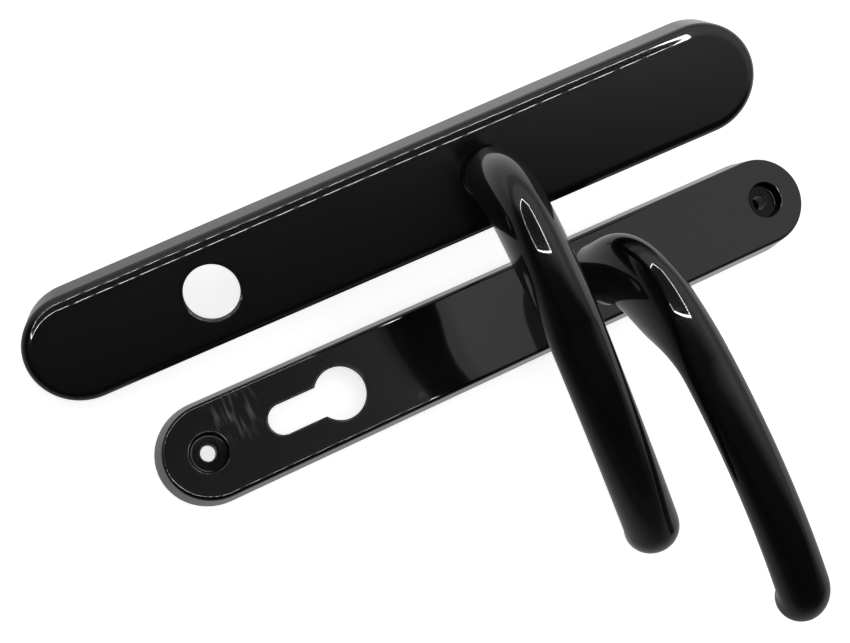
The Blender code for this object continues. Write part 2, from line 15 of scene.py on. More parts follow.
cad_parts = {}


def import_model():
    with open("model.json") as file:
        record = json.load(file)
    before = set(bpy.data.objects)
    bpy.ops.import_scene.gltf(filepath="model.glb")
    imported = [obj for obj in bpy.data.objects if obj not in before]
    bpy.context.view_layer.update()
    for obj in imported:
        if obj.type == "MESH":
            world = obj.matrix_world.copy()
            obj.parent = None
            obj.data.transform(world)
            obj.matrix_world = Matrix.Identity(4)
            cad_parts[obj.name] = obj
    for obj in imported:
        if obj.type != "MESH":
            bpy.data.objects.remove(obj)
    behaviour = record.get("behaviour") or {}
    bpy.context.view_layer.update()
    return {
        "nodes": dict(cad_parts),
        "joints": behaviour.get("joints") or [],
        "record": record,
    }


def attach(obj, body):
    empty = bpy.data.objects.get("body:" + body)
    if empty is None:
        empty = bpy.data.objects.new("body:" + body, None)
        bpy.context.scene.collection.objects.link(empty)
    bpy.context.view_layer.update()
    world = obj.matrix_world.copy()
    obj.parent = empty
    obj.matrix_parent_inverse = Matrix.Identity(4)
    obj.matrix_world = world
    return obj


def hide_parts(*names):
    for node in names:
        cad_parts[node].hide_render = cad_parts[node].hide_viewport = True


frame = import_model()

MM = 0.001

# How far a piece stays from its neighbour, and a cutting shape runs past what it cuts.
GAP = 0.3 * MM
OVERSHOOT = 1.0 * MM

# The backplates, with the solids' dimensions and finer roundings, in the handle's own frame: origin on
# the spindle's axis at the plate's back, +X up the plate, +Z out of its front, the lever towards -Y.
CYLINDER_X = -92 * MM
LOWER_SCREW_X = -138 * MM
UPPER_SCREW_X = 77 * MM
WALL = 2.4 * MM
SKIN = 2.0 * MM
RIB_X = (-64 * MM, -40 * MM, 34 * MM, 58 * MM)
RIB_HALF = 0.8 * MM
RIB_BOTTOM = 4.6 * MM
STEEL_THICK = 1.8 * MM
PILLAR_X = 19 * MM
PILLAR_BOTTOM = 3.5 * MM
PILLAR_R = 2.6 * MM
PILOT_R = 1.25 * MM
POST_SOCKET_R = 4.5 * MM
BOSS_R = 7.0 * MM
BOSS_BOTTOM = 1.0 * MM
OPENING_R = 8.7 * MM
EURO_SLOT_HALF = 5.0 * MM
EURO_LENGTH = 34.0 * MM
NECK_HOLE_R = 8.4 * MM
RECESS_R = 6.2 * MM
RECESS_DEPTH = 4.0 * MM
RECESS_CUP_R = 8.2 * MM
RECESS_CUP_BOTTOM = 3.4 * MM
SCREW_HOLE_R = 2.6 * MM
RIM_ROUNDING = 0.6 * MM
NECK_RIM_ROUNDING = 0.35 * MM
BACK_ROUNDING = 0.3 * MM
HOLLOW_BEVEL = 0.4 * MM
HOLLOW_FILLET = 0.8 * MM
PLATE_SHAPE = {
    "outside": {"draft": 0.5 * MM, "edge": 3.8 * MM, "cap": 18.2 * MM},
    "inside": {"draft": 1.6 * MM, "edge": 1.4 * MM, "cap": 17.9 * MM},
}

# The lever, and how far each one is turned from square to its plate at rest. Slopes and angles are in
# radians. The arch and the sweep are parabolas' factors, per metre. The last is the share of the
# section that is left at the tip's end.
REST_TURN = {"outside": math.radians(0.8), "inside": math.radians(6.1)}
NECK_R = 8.0 * MM
NECK_BOTTOM = 5.4 * MM
NECK_ROUND_TOP = 22.0 * MM
NECK_TOP_HALF_WIDTH = 8.5 * MM
NECK_TOP_HALF_DEPTH = 10.8 * MM
BEND_R = 33.5 * MM
BEND_SWELL = 7.9 * MM
BEND_SWELL_LENGTH = 61.5 * MM
BEND_SHIFT = 1.6 * MM
BAR_HEIGHT = 65.2 * MM
BAR_HALF_WIDTH = 8.45 * MM
BAR_START_HALF_DEPTH = 7.0 * MM
BAR_HALF_DEPTH = 8.2 * MM
TIP_HALF_WIDTH = 8.9 * MM
BAR_REACH = 119.3 * MM
BAR_START_SLOPE = -0.128
BAR_ARCH = 2.51
SIDE_SWEEP = 0.21
RETURN_R = 11.5 * MM
RETURN_ANGLE = 0.71
TIP_FLAT = 0.03

# The lever's fixings: a square spigot with a grooved end for the circlip, the spindle's pocket, and the
# holes for the spindle pin and the grub screw.
SPIGOT_HALF = 5.5 * MM
SPIGOT_BOTTOM = 2.4 * MM
SPIGOT_END = (0.4 * MM, 1.0 * MM)
SPIGOT_END_R = 7.3 * MM
SPIGOT_CHAMFER = 0.2 * MM
GROOVE_R = 5.6 * MM
POCKET_HALF = 4.3 * MM
POCKET_TOP = 39.0 * MM
PIN_HOLE_R = 1.3 * MM
PIN_HOLE_HALF_LENGTH = 12.0 * MM
PIN_Z = 7.6 * MM
GRUB_HOLE_R = 2.5 * MM
GRUB_HOLE_SPAN = (2.0 * MM, 14.0 * MM)
GRUB_Z = 24.0 * MM

# The return springs.
SPRING_WIRE_R = 0.55 * MM
SPRING_R = 10.2 * MM
SPRING_PITCH = 1.45 * MM
SPRING_LEG_R = 12.6 * MM
SPRING_STEPS_PER_TURN = 48
WIRE_POINTS = 12

# How finely the meshes are divided.
SECTION_POINTS = 72
NECK_STEPS = 12
BEND_STEPS = 48
BAR_STEPS = 40
RETURN_STEPS = 14
TIP_STEPS = 16
ROUND_STEPS = 96
SMALL_ROUND_STEPS = 48
EDGE_STEPS = 14
HOLLOW_STEPS = 5
RIM_STEPS = 7
SHARP_ANGLE = math.radians(32)

# Gloss black paint: a faint haze under a clear coat, which has a slight peel and rubbing marks drawn
# out along X. A RANGE is the stretch of its noise that counts.
BLACK = (0.0014, 0.0014, 0.0015)
HAZE_ROUGHNESS = 0.3
HAZE_LEVEL = 0.04
COAT_ROUGHNESS = (0.025, 0.05)
RUBBING_STRETCH = (0.06, 1, 1)
RUBBING_SCALE = 900.0
RUBBING_RANGE = (0.4, 0.75)
PEEL_SCALE = 300.0
PEEL_STRENGTH = 0.01
PEEL_DEPTH = 0.2 * MM

# The inside plate's screw recesses, darkened by painted shade through a weaker clear coat, and wiped dust
# between its lower screw and the keyhole.
RECESS_SHADE_COAT = 0.25
RECESS_COAT_EDGE = 0.3 * MM
DUST = (0.14, 0.14, 0.14)
SMEAR_CENTRE = (-126 * MM, 7.5 * MM, 0)
SMEAR_CORE_R = 2 * MM
SMEAR_R = 13 * MM
SMEAR_STRETCH = (1, 0.16, 1)
SMEAR_SCALE = 520.0
SMEAR_RANGE = (0.47, 0.75)

# The camera, from the inside handle's spindle.
CAMERA_FROM_SPINDLE = Vector((-177.17, -2.21, 442.31)) * MM
CAMERA_RIGHT = Vector((0.87865, -0.41531, 0.23555))
CAMERA_UP = Vector((0.39319, 0.90927, 0.13648))
CAMERA_BACK = Vector((-0.27086, -0.0273, 0.96223))
CAMERA_LENS_MM = 57.19
CAMERA_SENSOR_MM = 36.0
CAMERA_CLIP = (10 * MM, 20.0)

# The studio, which has a bright and a dark side. Each MIRRORED value is a smooth step towards the
# bright side: (where it starts, where it ends, strength before, strength after).
BRIGHT_SIDE = Vector((0.6, 0.8, 0.0))
FLOOR_MIRRORED = (-0.35, 0.3, 0.05, 0.75)
CEILING_MIRRORED = (-0.2, 0.25, 0.05, 0.9)
WORLD_MIRRORED = (-0.45, 0.7, 0.03, 0.5)

# The floor, and the radii between which the painted shadow under the upper screw hole fades out.
FLOOR_HALF = 3.0
FLOOR_Z = -0.2 * MM
FLOOR_WHITE = 0.85
FLOOR_ROUGHNESS = 0.9
FLOOR_GLOW = 0.72
SCREW_HOLE_SHADOW_R = (6 * MM, 9 * MM)

# The ceiling, seen only in reflections, with a dark opening round the camera and a dimmer far part:
# (where dimming starts, where it ends, share before, share after).
CEILING_HALF = 2.0
CEILING_ABOVE_LAMPS = 0.02
CEILING_FADE = (0.75, 1.6, 1.0, 0.5)
OPENING_HALF_X = 0.39
OPENING_HALF_Y = 0.26
OPENING_EDGE = 0.02
OPENING_SHIFT = Vector((-0.16, 0.16, 0.0))
OPENING_GLOW = 0.17

# The row of square lamps round the opening, whose corners are cut off, apart from one.
LAMP_PITCH = 0.0167
LAMP_HALF = 0.006
LAMP_CORNER_CUT = 0.15
LAMP_STRENGTH = 75.0

# The soft light overhead.
KEY_HEIGHT = 1.4
KEY_SIZE = 1.6
KEY_POWER = 10.0

# The mesh attribute that keeps each vertex's place in the handle's own frame.
LOCAL_PLACE = "local_place"


# ---------------------------------------------------------------- frame


def mount_point(name):
    mounts = frame["record"]["mounts"]
    return Vector(next(m["pos_m"] for m in mounts if m["name"] == name))


def joint(name):
    return next(j for j in frame["joints"] if j["name"] == name)


def handle_frame(side):
    """The handle's own frame in the row's frame, read from its hinge and, if it is tilted, its posts."""
    hinge = joint(f"{side}_lever_turn")
    move = Matrix.Translation(Vector(hinge["pos_m"]))
    if side == "inside":
        return move
    up = Vector(hinge["axis"]).normalized()
    along = mount_point("upper_bolt_post_end") - mount_point("lower_bolt_post_end")
    along = (along - up * along.dot(up)).normalized()
    across = up.cross(along)
    turn = Matrix((along, across, up)).transposed().to_4x4()
    return move @ turn


def local_box(node, place):
    """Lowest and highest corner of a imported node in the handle's own frame."""
    back = place.inverted()
    points = [back @ vert.co for vert in frame["nodes"][node].data.vertices]
    low = Vector(map(min, zip(*points)))
    high = Vector(map(max, zip(*points)))
    return low, high


# ---------------------------------------------------------------- mesh tools


def mix(first, last, part):
    return first + (last - first) * part


def loft(rings):
    """A closed body through rings of equally many points, with a flat cap at each end."""
    bm = bmesh.new()
    rows = [[bm.verts.new(point) for point in ring] for ring in rings]
    for lower, upper in zip(rows, rows[1:]):
        for i in range(len(lower)):
            j = (i + 1) % len(lower)
            bm.faces.new((lower[i], lower[j], upper[j], upper[i]))
    bm.faces.new(rows[0])
    bm.faces.new(rows[-1])
    return bm


def level(outline, z):
    return [(x, y, z) for x, y in outline]


def prism(outline, low, high):
    return loft([level(outline, low), level(outline, high)])


def circle(radius, steps=ROUND_STEPS, centre_x=0.0):
    turns = [2 * math.pi * i / steps for i in range(steps)]
    return [(centre_x + radius * math.cos(t), radius * math.sin(t)) for t in turns]


def cylinder(radius, low, high, steps=SMALL_ROUND_STEPS, axis_x=0.0):
    return prism(circle(radius, steps, axis_x), low, high)


def turned(profile, steps=ROUND_STEPS, axis_x=0.0):
    """A loft of circles, one for each (radius, height) of the profile."""
    return loft([level(circle(r, steps, axis_x), z) for r, z in profile])


def rectangle(x_low, x_high, y_half):
    return [(x_low, -y_half), (x_high, -y_half), (x_high, y_half), (x_low, y_half)]


def stadium(low_x, high_x, half, cap, steps=SMALL_ROUND_STEPS):
    """An outline with oval ends that reach cap beyond low_x and high_x."""
    outline = []
    for centre, start in ((high_x, -math.pi / 2), (low_x, math.pi / 2)):
        for i in range(steps + 1):
            t = start + math.pi * i / steps
            outline.append((centre + cap * math.cos(t), half * math.sin(t)))
    return outline


def euro_outline(clearance=0.0, circle_steps=84, slot_steps=36):
    """A euro cylinder's keyhole: a circle on its axis, and a slot towards the plate's lower end."""
    radius = OPENING_R + clearance
    half = EURO_SLOT_HALF + clearance
    meet = math.asin(half / radius)
    slot_x = CYLINDER_X + OPENING_R - EURO_LENGTH + EURO_SLOT_HALF
    outline = []
    for i in range(circle_steps + 1):
        t = (math.pi - meet) * (2 * i / circle_steps - 1)
        outline.append((CYLINDER_X + radius * math.cos(t), radius * math.sin(t)))
    for i in range(slot_steps + 1):
        t = math.pi / 2 + math.pi * i / slot_steps
        outline.append((slot_x + half * math.cos(t), half * math.sin(t)))
    return outline


def flare(height, rounding=RIM_ROUNDING):
    """(clearance, height) pairs that round the rim of an opening in a face at the given height.

    The last stretch of the curve runs on through the face, so that no ring lies in the face itself.
    """
    pairs = [(0.0, -OVERSHOOT)]
    for i in range(RIM_STEPS):
        t = math.pi / 2 * i / RIM_STEPS
        pairs.append((rounding * (1 - math.cos(t)), height - rounding + rounding * math.sin(t)))
    clearance, z = pairs[-1]
    pairs.append((rounding * 2 - clearance, height * 2 - z))
    pairs.append((rounding * 2, height + OVERSHOOT))
    return pairs


def lay_along(bm, axis, height):
    """Lays an upright body along X, or along the bar's direction, at the given height."""
    turn_axis = "Y" if axis == "x" else "X"
    matrix = Matrix.Translation((0, 0, height)) @ Matrix.Rotation(math.pi / 2, 4, turn_axis)
    bmesh.ops.transform(bm, matrix=matrix, verts=bm.verts)
    return bm


def add_object(name, bm, place):
    """A mesh object at the origin, its shape turned and moved to its place in the row's frame."""
    bmesh.ops.recalc_face_normals(bm, faces=bm.faces)
    bmesh.ops.transform(bm, matrix=place, verts=bm.verts)
    mesh = bpy.data.meshes.new(name)
    bm.to_mesh(mesh)
    bm.free()
    obj = bpy.data.objects.new(name, mesh)
    bpy.context.scene.collection.objects.link(obj)
    return obj


def shape(name, body, steps, place):
    """Builds a body, then joins or cuts each (operation, shape) in turn and keeps the finished mesh."""
    obj = add_object(name, body, place)
    helpers = []
    for i, (operation, bm) in enumerate(steps):
        helper = add_object(f"{name}_helper_{i}", bm, place)
        modifier = obj.modifiers.new(f"step_{i}", "BOOLEAN")
        modifier.object = helper
        modifier.operation = operation
        modifier.solver = "MANIFOLD"
        helpers.append(helper)
    bpy.context.view_layer.update()
    graph = bpy.context.evaluated_depsgraph_get()
    finished = bpy.data.meshes.new_from_object(obj.evaluated_get(graph))
    obj.modifiers.clear()
    obj.data = finished
    for helper in helpers:
        bpy.data.objects.remove(helper)
    finished.name = name
    finished.materials.clear()
    store_local_places(finished, place)
    smooth(obj)
    return obj


def store_local_places(mesh, place):
    """Keeps each vertex's place in the handle's own frame, for materials that depend on it."""
    back = place.inverted()
    attribute = mesh.attributes.new(LOCAL_PLACE, "FLOAT_VECTOR", "POINT")
    for vert, item in zip(mesh.vertices, attribute.data):
        item.vector = back @ vert.co


def smooth(obj):
    """Smooth shading that stays crisp at corners and flat on flat faces."""
    obj.data.shade_smooth()
    obj.data.set_sharp_from_angle(angle=SHARP_ANGLE)
    weighted = obj.modifiers.new("flat_faces_stay_flat", "WEIGHTED_NORMAL")
    weighted.keep_sharp = True
    weighted.weight = 100


# ---------------------------------------------------------------- backplates


def plate_body(side, low, high):
    """The drafted wall with its rounded front edge and a slightly rounded back rim."""
    plate = PLATE_SHAPE[side]
    half, height = high.y, high.z
    draft, edge, cap = plate["draft"], plate["edge"], plate["cap"]
    middle = 0.3 * BACK_ROUNDING  # the middle of a quarter round is this far in from both faces
    levels = [(BACK_ROUNDING, 0.0), (middle, middle), (0.0, BACK_ROUNDING)]
    for i in range(EDGE_STEPS + 1):
        t = math.pi / 2 * i / EDGE_STEPS
        levels.append((draft + edge * (1 - math.cos(t)), height - edge + edge * math.sin(t)))
    rings = []
    for inset, z in levels:
        outline = stadium(low.x + cap, high.x - cap, half - inset, cap - inset)
        rings.append(level(outline, z))
    return loft(rings)


def plate_hollow(side, low, high):
    """What the plate's back is hollowed by: bevelled at the rim, with a fillet under the face."""
    plate = PLATE_SHAPE[side]
    half, cap = high.y - WALL, plate["cap"] - WALL
    ends = (low.x + plate["cap"], high.x - plate["cap"])
    draft, ceiling = plate["draft"], high.z - SKIN
    fillet = HOLLOW_FILLET
    levels = [(-HOLLOW_BEVEL, -OVERSHOOT), (0.0, HOLLOW_BEVEL)]
    for i in range(HOLLOW_STEPS + 1):
        t = math.pi / 2 * i / HOLLOW_STEPS
        levels.append((draft + fillet * (1 - math.cos(t)), ceiling - fillet + fillet * math.sin(t)))
    return loft([level(stadium(*ends, half - inset, cap - inset), z) for inset, z in levels])


def recess_profile(height):
    """Half section of a screw recess with a rounded rim, from below up through the face."""
    floor = height - RECESS_DEPTH
    profile = [
        (SCREW_HOLE_R, -OVERSHOOT),
        (SCREW_HOLE_R, floor - 0.5 * MM),
        (SCREW_HOLE_R + 0.15 * MM, floor - 0.15 * MM),
        (SCREW_HOLE_R + 0.5 * MM, floor),
        (RECESS_R - 0.9 * MM, floor),
        (RECESS_R - 0.35 * MM, floor + 0.2 * MM),
        (RECESS_R - 0.1 * MM, floor + 0.8 * MM),
    ]
    profile += [(RECESS_R + clearance, z) for clearance, z in flare(height)[1:]]
    return profile


def backplate(side):
    """The hollow casting, with ribs, pillars for the spring cover's screws, and its openings."""
    place = handle_frame(side)
    node = f"{side}_backplate"
    low, high = local_box(node, place)
    height = high.z
    ceiling = height - SKIN
    in_skin = height - SKIN / 2
    steps = [("DIFFERENCE", plate_hollow(side, low, high))]
    rib_top = ceiling - GAP - STEEL_THICK - GAP
    for x in RIB_X:
        rib = rectangle(x - RIB_HALF, x + RIB_HALF, high.y - WALL * 2 / 3)
        steps.append(("UNION", prism(rib, RIB_BOTTOM, rib_top)))
    for x in (-PILLAR_X, PILLAR_X):
        steps.append(("UNION", cylinder(PILLAR_R, PILLAR_BOTTOM, in_skin, axis_x=x)))
        steps.append(("DIFFERENCE", cylinder(PILOT_R, 0, ceiling, axis_x=x)))
    neck = [(NECK_HOLE_R + clearance, z) for clearance, z in flare(height, NECK_RIM_ROUNDING)]
    steps.append(("DIFFERENCE", turned(neck)))
    for x in (LOWER_SCREW_X, UPPER_SCREW_X):
        if side == "inside":
            steps.append(("UNION", cylinder(RECESS_CUP_R, RECESS_CUP_BOTTOM, in_skin, axis_x=x)))
            steps.append(("DIFFERENCE", turned(recess_profile(height), axis_x=x)))
        else:
            steps.append(("UNION", cylinder(BOSS_R, BOSS_BOTTOM, in_skin, axis_x=x)))
            steps.append(("DIFFERENCE", cylinder(POST_SOCKET_R, -OVERSHOOT, ceiling, axis_x=x)))
    if side == "inside":
        opening = loft([level(euro_outline(clearance), z) for clearance, z in flare(height)])
    else:
        mouth = [(OPENING_R + clearance, z) for clearance, z in flare(height)]
        opening = turned(mouth, axis_x=CYLINDER_X)
    steps.append(("DIFFERENCE", opening))
    obj = shape(f"{side}_backplate_casting", plate_body(side, low, high), steps, place)
    return finish_piece(obj, node, "plates")


# ---------------------------------------------------------------- levers


def bend_form(length):
    """How much the section is deeper, and its middle moved outwards, that far along from the neck."""
    part = min(length / BEND_SWELL_LENGTH, 1.0)
    swell = BEND_SWELL * math.sin(math.pi * part) ** 2
    return swell, BEND_SHIFT * math.sin(2 * math.pi * part) * math.sin(math.pi * part)


def lever_stations():
    """Places along the lever: (reach, height, slope, half_width, half_depth).

    The neck widens fore and aft as it rises. Round the bend the section swells, and its middle moves
    out of the bend first and then into it.
    """
    corner = BAR_HEIGHT - BEND_R
    stations = []
    for i in range(NECK_STEPS):
        part = (1 - math.cos(math.pi * i / NECK_STEPS)) / 2
        height = mix(NECK_ROUND_TOP, corner, i / NECK_STEPS)
        width = mix(NECK_R, NECK_TOP_HALF_WIDTH, part)
        stations.append((0.0, height, math.pi / 2, width, mix(NECK_R, NECK_TOP_HALF_DEPTH, part)))

    bend_angle = math.pi / 2 - BAR_START_SLOPE
    for i in range(BEND_STEPS + 1):
        part = i / BEND_STEPS
        turn = bend_angle * part
        slope = math.pi / 2 - turn
        swell, shift = bend_form(BEND_R * turn)
        width = mix(NECK_TOP_HALF_WIDTH, BAR_HALF_WIDTH, part)
        depth = mix(NECK_TOP_HALF_DEPTH, BAR_START_HALF_DEPTH, part) + swell
        reach = BEND_R * (1 - math.cos(turn)) - shift * math.sin(slope)
        height = corner + BEND_R * math.sin(turn) + shift * math.cos(slope)
        stations.append((reach, height, slope, width, depth))

    start = BEND_R * (1 - math.cos(bend_angle))
    height = corner + BEND_R * math.sin(bend_angle)
    for i in range(1, BAR_STEPS + 1):
        part = i / BAR_STEPS
        run = (BAR_REACH - start) * part
        rise = math.tan(BAR_START_SLOPE) * run - BAR_ARCH * run * run
        slope = math.atan(math.tan(BAR_START_SLOPE) - 2 * BAR_ARCH * run)
        width = mix(BAR_HALF_WIDTH, TIP_HALF_WIDTH, part**2)
        depth = mix(BAR_START_HALF_DEPTH, BAR_HALF_DEPTH, math.sin(math.pi / 2 * part))
        depth += bend_form(BEND_R * bend_angle + run)[0]
        stations.append((start + run, height + rise, slope, width, depth))

    start, height, slope, width, depth = stations[-1]
    pivot_reach = start + RETURN_R * math.sin(slope)
    pivot_height = height - RETURN_R * math.cos(slope)
    for i in range(1, RETURN_STEPS + 1):
        t = slope - RETURN_ANGLE * i / RETURN_STEPS
        reach = pivot_reach - RETURN_R * math.sin(t)
        stations.append((reach, pivot_height + RETURN_R * math.cos(t), t, width, depth))

    start, height, slope, width, depth = stations[-1]
    for i in range(1, TIP_STEPS + 1):
        t = math.pi / 2 * i / TIP_STEPS
        shrink = max(math.cos(t), TIP_FLAT)
        reach = start + depth * math.sin(t) * math.cos(slope)
        drop = height + depth * math.sin(t) * math.sin(slope)
        stations.append((reach, drop, slope, width * shrink, depth * shrink))
    return stations


def lever_body():
    """The lever without its fixings: oval sections lofted from the neck's lower end to the tip."""
    rings = [level(circle(NECK_R, SECTION_POINTS), NECK_BOTTOM)]
    for reach, height, slope, half_width, half_depth in lever_stations():
        sweep = SIDE_SWEEP * reach * reach
        ring = []
        for i in range(SECTION_POINTS):
            t = 2 * math.pi * i / SECTION_POINTS
            across = half_width * math.cos(t) + sweep
            up = half_depth * math.sin(t)
            ring.append((across, up * math.sin(slope) - reach, height + up * math.cos(slope)))
        rings.append(ring)
    return loft(rings)


def lever(side):
    """The cast lever, with its square spindle pocket and the keyed, grooved spigot under the neck."""
    place = handle_frame(side) @ Matrix.Rotation(REST_TURN[side], 4, "Z")
    spigot = rectangle(-SPIGOT_HALF, SPIGOT_HALF, SPIGOT_HALF)
    pocket = rectangle(-POCKET_HALF, POCKET_HALF, POCKET_HALF)
    end_low, end_high = SPIGOT_END
    end = [
        (SPIGOT_END_R - SPIGOT_CHAMFER, end_low),
        (SPIGOT_END_R, end_low + SPIGOT_CHAMFER),
        (SPIGOT_END_R, end_high),
        (GROOVE_R, end_high),
        (GROOVE_R, SPIGOT_BOTTOM + GAP),
    ]
    steps = [
        ("UNION", prism(spigot, SPIGOT_BOTTOM, NECK_BOTTOM + OVERSHOOT)),
        ("UNION", turned(end)),
        ("DIFFERENCE", prism(pocket, -OVERSHOOT, POCKET_TOP)),
    ]
    if side == "outside":
        hole = cylinder(PIN_HOLE_R, -PIN_HOLE_HALF_LENGTH, PIN_HOLE_HALF_LENGTH)
        steps.append(("DIFFERENCE", lay_along(hole, "x", PIN_Z)))
    else:
        hole = cylinder(GRUB_HOLE_R, *GRUB_HOLE_SPAN)
        steps.append(("DIFFERENCE", lay_along(hole, "bar", GRUB_Z)))
    obj = shape(f"{side}_lever_casting", lever_body(), steps, place)
    return finish_piece(obj, f"{side}_lever", f"{side}_handle")


def finish_piece(obj, node, body):
    """Puts a piece on its body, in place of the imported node."""
    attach(obj, body)
    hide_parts(node)
    return obj


# ---------------------------------------------------------------- inside the plates


def return_spring(side):
    """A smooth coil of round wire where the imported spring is, with its two short legs."""
    place = handle_frame(side)
    node = f"{side}_return_spring"
    low, high = local_box(node, place)
    bottom, top = low.z + SPRING_WIRE_R, high.z - SPRING_WIRE_R
    turns = (top - bottom) / SPRING_PITCH
    steps = round(SPRING_STEPS_PER_TURN * turns)
    points = []
    for i in range(steps + 1):
        t = 2 * math.pi * turns * i / steps - math.pi / 2
        points.append(Vector((SPRING_R * math.cos(t), SPRING_R * math.sin(t), mix(bottom, top, i / steps))))
    legs = [Vector((*(end.to_2d() * SPRING_LEG_R / SPRING_R), end.z)) for end in (points[0], points[-1])]
    points = [legs[0], *points, legs[1]]
    rings = []
    for i, point in enumerate(points):
        along = (points[min(i + 1, len(points) - 1)] - points[max(i - 1, 0)]).normalized()
        sideways = along.cross(Vector((0, 0, 1))).normalized()
        upwards = sideways.cross(along)
        ring = []
        for k in range(WIRE_POINTS):
            t = 2 * math.pi * k / WIRE_POINTS
            ring.append(point + (sideways * math.cos(t) + upwards * math.sin(t)) * SPRING_WIRE_R)
        rings.append(ring)
    obj = add_object(f"{side}_return_coil", loft(rings), place)
    store_local_places(obj.data, place)
    smooth(obj)
    return finish_piece(obj, node, "plates")


# ---------------------------------------------------------------- materials


class Graph:
    """Short calls for building the nodes of a material or of the world."""

    def __init__(self, owner):
        owner.use_nodes = True
        self.owner = owner
        self.tree = owner.node_tree
        self.shader = self.tree.nodes.get("Principled BSDF")

    def add(self, kind, **settings):
        node = self.tree.nodes.new(kind)
        for key, value in settings.items():
            if key in node.inputs:
                self.feed(node, key, value)
            else:
                setattr(node, key, value)
        return node

    def feed(self, node, key, value):
        """Links a socket, or sets a plain value."""
        if isinstance(value, bpy.types.NodeSocket):
            self.tree.links.new(value, node.inputs[key])
        else:
            node.inputs[key].default_value = value

    def math(self, operation, first, second=0.0):
        node = self.tree.nodes.new("ShaderNodeMath")
        node.operation = operation
        self.feed(node, 0, first)
        self.feed(node, 1, second)
        return node.outputs[0]

    def place(self, local):
        """Place on the piece, in metres: in the handle's own frame, or in the row's frame."""
        if local:
            return self.add("ShaderNodeAttribute", attribute_name=LOCAL_PLACE).outputs["Vector"]
        return self.add("ShaderNodeTexCoord").outputs["Object"]

    def stretched(self, vector, scale):
        node = self.tree.nodes.new("ShaderNodeMapping")
        self.feed(node, "Vector", vector)
        node.inputs["Scale"].default_value = scale
        return node.outputs[0]

    def noise(self, vector, scale, detail):
        node = self.tree.nodes.new("ShaderNodeTexNoise")
        self.feed(node, "Vector", vector)
        node.inputs["Scale"].default_value = scale
        node.inputs["Detail"].default_value = detail
        return node.outputs["Fac"]

    def ramp(self, value, low, high, out_low=0.0, out_high=1.0):
        """Smooth step: out_low below low, out_high above high."""
        node = self.tree.nodes.new("ShaderNodeMapRange")
        node.interpolation_type = "SMOOTHSTEP"
        for i, item in enumerate((value, low, high, out_low, out_high)):
            self.feed(node, i, item)
        return node.outputs[0]

    def measure(self, operation, vector, other):
        """A number from two vectors: their DISTANCE or their DOT_PRODUCT."""
        node = self.tree.nodes.new("ShaderNodeVectorMath")
        node.operation = operation
        self.feed(node, 0, vector)
        node.inputs[1].default_value = other
        return node.outputs["Value"]

    def between(self, first, last, part):
        """The colour that lies part of the way from the first to the last."""
        node = self.tree.nodes.new("ShaderNodeMix")
        node.data_type = "RGBA"
        colour_a, colour_b = [item for item in node.inputs if item.type == "RGBA"]
        colour_a.default_value = (*first, 1)
        colour_b.default_value = (*last, 1)
        self.feed(node, 0, part)
        return next(item for item in node.outputs if item.type == "RGBA")

    def output(self, surface):
        self.tree.links.new(surface, self.tree.nodes["Material Output"].inputs["Surface"])

    def show_mirrored(self, surface, mirrored):
        """Shows one shader directly and another one in mirrors."""
        rays = self.add("ShaderNodeLightPath")
        choice = self.add("ShaderNodeMixShader")
        self.feed(choice, 0, rays.outputs["Is Glossy Ray"])
        self.feed(choice, 1, surface)
        self.feed(choice, 2, mirrored)
        self.output(choice.outputs[0])

    def bump(self, height, strength, distance):
        node = self.tree.nodes.new("ShaderNodeBump")
        node.inputs["Strength"].default_value = strength
        node.inputs["Distance"].default_value = distance
        self.feed(node, "Height", height)
        return node.outputs[0]


def new_material(name):
    return Graph(bpy.data.materials.new(name))


def gloss_black(name, screwed=False):
    """Gloss black paint: a sharp clear layer over a faint haze, with fine rubbing marks along X.

    A plate that is screwed on has painted shade in its recesses, where the clear coat is weaker, and a few
    wiped smears of dust beside the lower one.
    """
    graph = new_material(name)
    shader = graph.shader
    place = graph.place(local=True)
    graph.feed(shader, "Base Color", (*BLACK, 1))
    graph.feed(shader, "Roughness", HAZE_ROUGHNESS)
    graph.feed(shader, "Specular IOR Level", HAZE_LEVEL)
    graph.feed(shader, "Coat Weight", 1.0)
    rubbing = graph.noise(graph.stretched(place, RUBBING_STRETCH), RUBBING_SCALE, detail=3.0)
    graph.feed(shader, "Coat Roughness", graph.ramp(rubbing, *RUBBING_RANGE, *COAT_ROUGHNESS))
    peel = graph.noise(place, PEEL_SCALE, detail=1.0)
    graph.feed(shader, "Coat Normal", graph.bump(peel, PEEL_STRENGTH, PEEL_DEPTH))
    if screwed:
        flat_place = graph.stretched(place, (1, 1, 0))
        coat = 1.0
        # Painted shade: the clear coat is weakened inside each screw recess, so that the recess looks
        # darker.
        for x in (LOWER_SCREW_X, UPPER_SCREW_X):
            radius = graph.measure("DISTANCE", flat_place, (x, 0, 0))
            shaded_recess = graph.ramp(radius, RECESS_R - RECESS_COAT_EDGE, RECESS_R, RECESS_SHADE_COAT, 1.0)
            coat = graph.math("MULTIPLY", coat, shaded_recess)
        graph.feed(shader, "Coat Weight", coat)
        streaks = graph.noise(graph.stretched(place, SMEAR_STRETCH), SMEAR_SCALE, detail=6.0)
        smears = graph.ramp(streaks, *SMEAR_RANGE)
        radius = graph.measure("DISTANCE", flat_place, SMEAR_CENTRE)
        patch = graph.ramp(radius, SMEAR_CORE_R, SMEAR_R, 1.0, 0.0)
        dusty = graph.math("MULTIPLY", smears, patch)
        graph.feed(shader, "Base Color", graph.between(BLACK, DUST, dusty))
    return graph.owner


